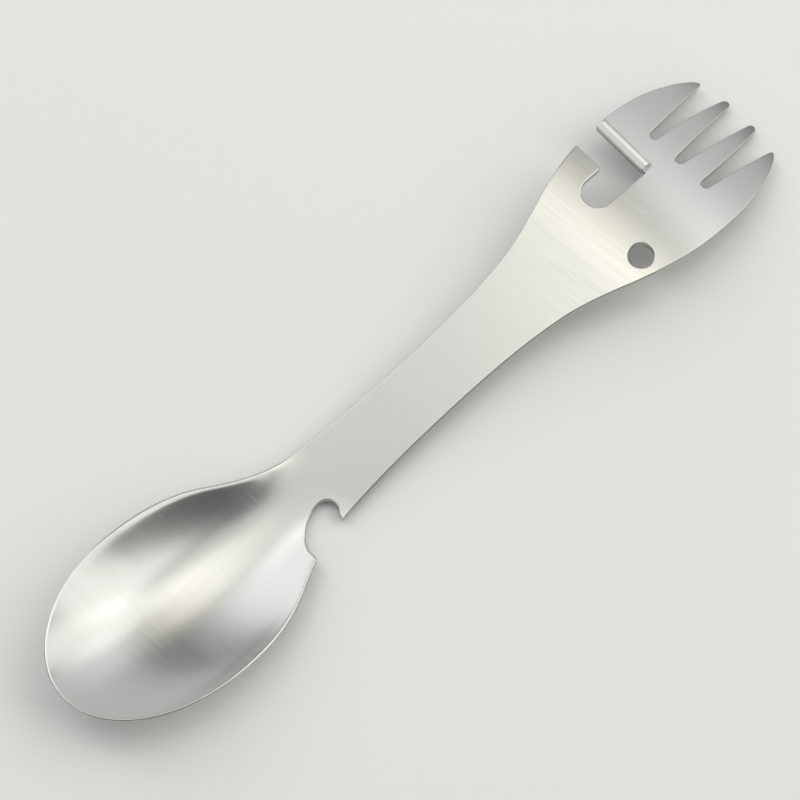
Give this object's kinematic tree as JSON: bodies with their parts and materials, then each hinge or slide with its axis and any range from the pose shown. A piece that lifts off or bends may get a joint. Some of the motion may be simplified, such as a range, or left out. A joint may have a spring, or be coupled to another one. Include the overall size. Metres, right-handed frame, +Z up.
{
  "type": "cutlery multi-tool",
  "caption": "Pressed steel spork: spoon bowl at one end, fork tines at the other, flat handle between, with a can-opener notch, a bottle-opener slot and a hanging hole.",
  "frame": {"origin": "on the table, under the middle of the tool's length and width, with the tool lying on its bowl and tine tips", "axes": "+X from the spoon end to the fork end, +Y towards the bottle-opener edge, +Z up, out of the hollow of the bowl"},
  "size_m": [0.1762, 0.0362, 0.0119],
  "materials": {
    "satin_steel": "satin stainless steel with fine polishing scratches and rounded, brighter edges"
  },
  "bodies": {
    "root": {"spoon_bowl": "satin_steel", "can_opener_neck": "satin_steel", "handle": "satin_steel", "bottle_opener_head": "satin_steel", "bottle_opener_lip": "satin_steel", "fork_tine_1": "satin_steel", "fork_tine_2": "satin_steel", "fork_tine_3": "satin_steel", "fork_tine_4": "satin_steel"}
  },
  "joints": []
}
